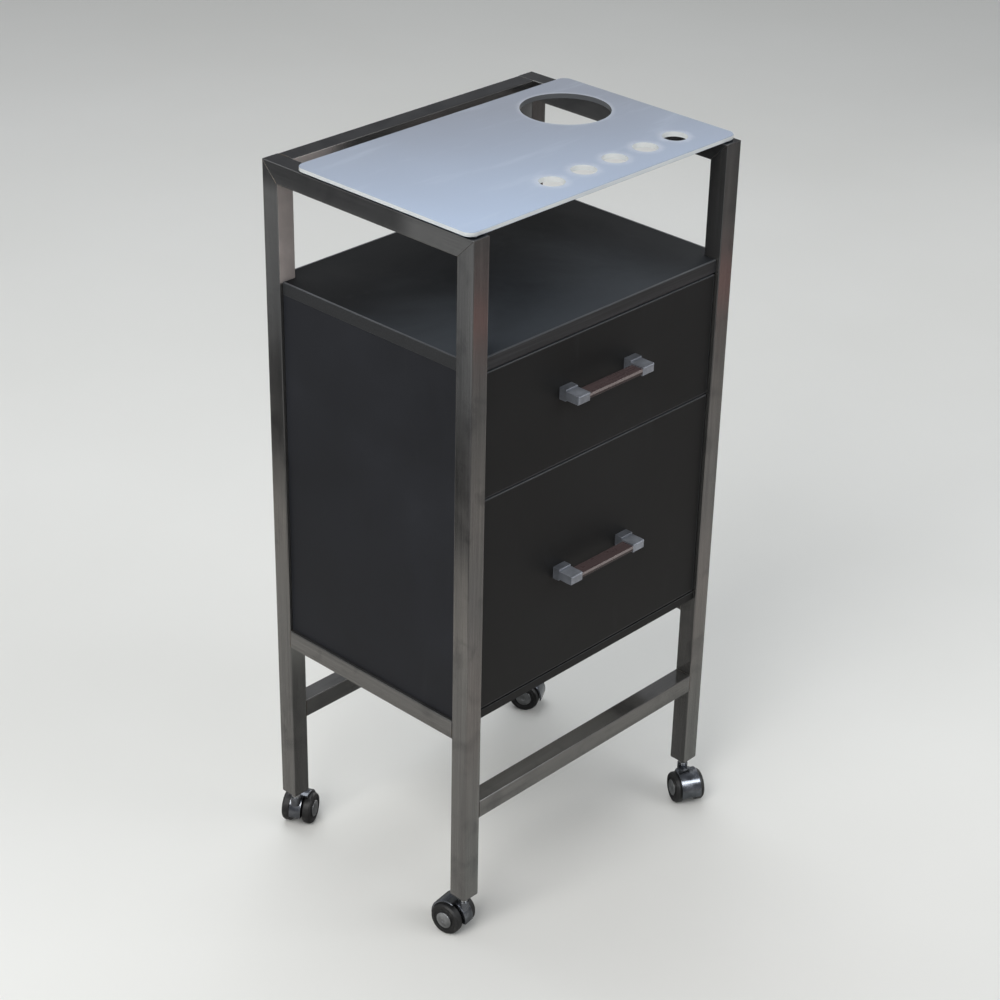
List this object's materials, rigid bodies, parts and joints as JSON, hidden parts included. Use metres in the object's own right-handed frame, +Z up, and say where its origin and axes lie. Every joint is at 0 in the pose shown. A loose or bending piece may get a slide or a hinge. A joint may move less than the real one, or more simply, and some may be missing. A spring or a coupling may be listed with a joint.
{
  "type": "spa trolley cart",
  "caption": "Rolling trolley: square-tube frame on swivel casters, frosted glass top with round tool and bowl cut-outs, open shelf space and a dark cabinet with drawers.",
  "frame": {"origin": "on the floor, under the middle of the rectangle drawn round the posts", "axes": "+X to the right as seen by a user facing the drawers, +Y to the back, +Z up"},
  "size_m": [0.4887, 0.3916, 0.953],
  "materials": {
    "frame_steel": "polished stainless square tube",
    "frosted_glass": "frosted pale blue-grey safety glass with polished edges",
    "clear_pad": "clear soft pad",
    "charcoal_board": "matte charcoal laminate on board",
    "drawer_board": "dark grey melamine on board",
    "runner_steel": "zinc plated",
    "handle_metal": "satin grey metal",
    "handle_bar": "reddish-brown satin",
    "bright_steel": "bright steel",
    "caster_hood": "gunmetal",
    "wheel_black": "black moulded wheel with a grey centre cap",
    "black_plastic": "moulded black"
  },
  "bodies": {
    "frame": {"cabinet_back": "charcoal_board", "cabinet_bottom": "charcoal_board", "cabinet_side_left": "charcoal_board", "cabinet_side_right": "charcoal_board", "cabinet_top": "charcoal_board", "caster_stems": "bright_steel", "glass_pads": "clear_pad", "glass_top": "frosted_glass", "post_back_left": "frame_steel", "post_back_right": "frame_steel", "post_front_left": "frame_steel", "post_front_right": "frame_steel", "post_plugs": "black_plastic", "rail_low_back": "frame_steel", "rail_low_front": "frame_steel", "rail_side_left": "frame_steel", "rail_side_right": "frame_steel", "rail_top_back": "frame_steel", "rail_top_left": "frame_steel", "rail_top_right": "frame_steel", "runners_left": "runner_steel", "runners_right": "runner_steel"},
    "drawer_upper": {"drawer_upper_back": "drawer_board", "drawer_upper_floor": "drawer_board", "drawer_upper_front": "charcoal_board", "drawer_upper_rails": "runner_steel", "drawer_upper_side_left": "drawer_board", "drawer_upper_side_right": "drawer_board", "handle_upper_bar": "handle_bar", "handle_upper_brackets": "handle_metal", "handle_upper_screws": "bright_steel"},
    "drawer_lower": {"drawer_lower_back": "drawer_board", "drawer_lower_floor": "drawer_board", "drawer_lower_front": "charcoal_board", "drawer_lower_rails": "runner_steel", "drawer_lower_side_left": "drawer_board", "drawer_lower_side_right": "drawer_board", "handle_lower_bar": "handle_bar", "handle_lower_brackets": "handle_metal", "handle_lower_screws": "bright_steel"},
    "caster_front_left": {"caster_front_left_hood": "caster_hood", "caster_front_left_axle": "bright_steel"},
    "caster_front_left_wheel_left_body": {"caster_front_left_wheel_left": "wheel_black"},
    "caster_front_left_wheel_right_body": {"caster_front_left_wheel_right": "wheel_black"},
    "caster_front_right": {"caster_front_right_hood": "caster_hood", "caster_front_right_axle": "bright_steel"},
    "caster_front_right_wheel_left_body": {"caster_front_right_wheel_left": "wheel_black"},
    "caster_front_right_wheel_right_body": {"caster_front_right_wheel_right": "wheel_black"},
    "caster_back_left": {"caster_back_left_hood": "caster_hood", "caster_back_left_axle": "bright_steel"},
    "caster_back_left_wheel_left_body": {"caster_back_left_wheel_left": "wheel_black"},
    "caster_back_left_wheel_right_body": {"caster_back_left_wheel_right": "wheel_black"},
    "caster_back_right": {"caster_back_right_hood": "caster_hood", "caster_back_right_axle": "bright_steel"},
    "caster_back_right_wheel_left_body": {"caster_back_right_wheel_left": "wheel_black"},
    "caster_back_right_wheel_right_body": {"caster_back_right_wheel_right": "wheel_black"}
  },
  "joints": [
    {"name": "drawer_upper_slide", "type": "slide", "parent": "frame", "child": "drawer_upper", "axis": [0, -1, 0], "range_m": [0, 0.22]},
    {"name": "drawer_lower_slide", "type": "slide", "parent": "frame", "child": "drawer_lower", "axis": [0, -1, 0], "range_m": [0, 0.22]},
    {"name": "caster_front_left_swivel", "type": "hinge", "parent": "frame", "child": "caster_front_left", "pos_m": [-0.2145, -0.1575, 0.05], "axis": [0, 0, 1], "continuous": true},
    {"name": "caster_front_left_wheel_left_spin", "type": "hinge", "parent": "caster_front_left", "child": "caster_front_left_wheel_left_body", "pos_m": [-0.21674, -0.14156, 0.0214], "axis": [-0.9903, -0.1392, 0], "continuous": true},
    {"name": "caster_front_left_wheel_right_spin", "type": "hinge", "parent": "caster_front_left", "child": "caster_front_left_wheel_right_body", "pos_m": [-0.21674, -0.14156, 0.0214], "axis": [-0.9903, -0.1392, 0], "continuous": true},
    {"name": "caster_front_right_swivel", "type": "hinge", "parent": "frame", "child": "caster_front_right", "pos_m": [0.2145, -0.1575, 0.05], "axis": [0, 0, 1], "continuous": true},
    {"name": "caster_front_right_wheel_left_spin", "type": "hinge", "parent": "caster_front_right", "child": "caster_front_right_wheel_left_body", "pos_m": [0.20682, -0.17165, 0.0214], "axis": [0.8788, -0.4772, 0], "continuous": true},
    {"name": "caster_front_right_wheel_right_spin", "type": "hinge", "parent": "caster_front_right", "child": "caster_front_right_wheel_right_body", "pos_m": [0.20682, -0.17165, 0.0214], "axis": [0.8788, -0.4772, 0], "continuous": true},
    {"name": "caster_back_left_swivel", "type": "hinge", "parent": "frame", "child": "caster_back_left", "pos_m": [-0.2145, 0.1575, 0.05], "axis": [0, 0, 1], "continuous": true},
    {"name": "caster_back_left_wheel_left_spin", "type": "hinge", "parent": "caster_back_left", "child": "caster_back_left_wheel_left_body", "pos_m": [-0.20025, 0.16498, 0.0214], "axis": [-0.4648, 0.8854, 0], "continuous": true},
    {"name": "caster_back_left_wheel_right_spin", "type": "hinge", "parent": "caster_back_left", "child": "caster_back_left_wheel_right_body", "pos_m": [-0.20025, 0.16498, 0.0214], "axis": [-0.4648, 0.8854, 0], "continuous": true},
    {"name": "caster_back_right_swivel", "type": "hinge", "parent": "frame", "child": "caster_back_right", "pos_m": [0.2145, 0.1575, 0.05], "axis": [0, 0, 1], "continuous": true},
    {"name": "caster_back_right_wheel_left_spin", "type": "hinge", "parent": "caster_back_right", "child": "caster_back_right_wheel_left_body", "pos_m": [0.22255, 0.14356, 0.0214], "axis": [0.866, 0.5, 0], "continuous": true},
    {"name": "caster_back_right_wheel_right_spin", "type": "hinge", "parent": "caster_back_right", "child": "caster_back_right_wheel_right_body", "pos_m": [0.22255, 0.14356, 0.0214], "axis": [0.866, 0.5, 0], "continuous": true}
  ]
}
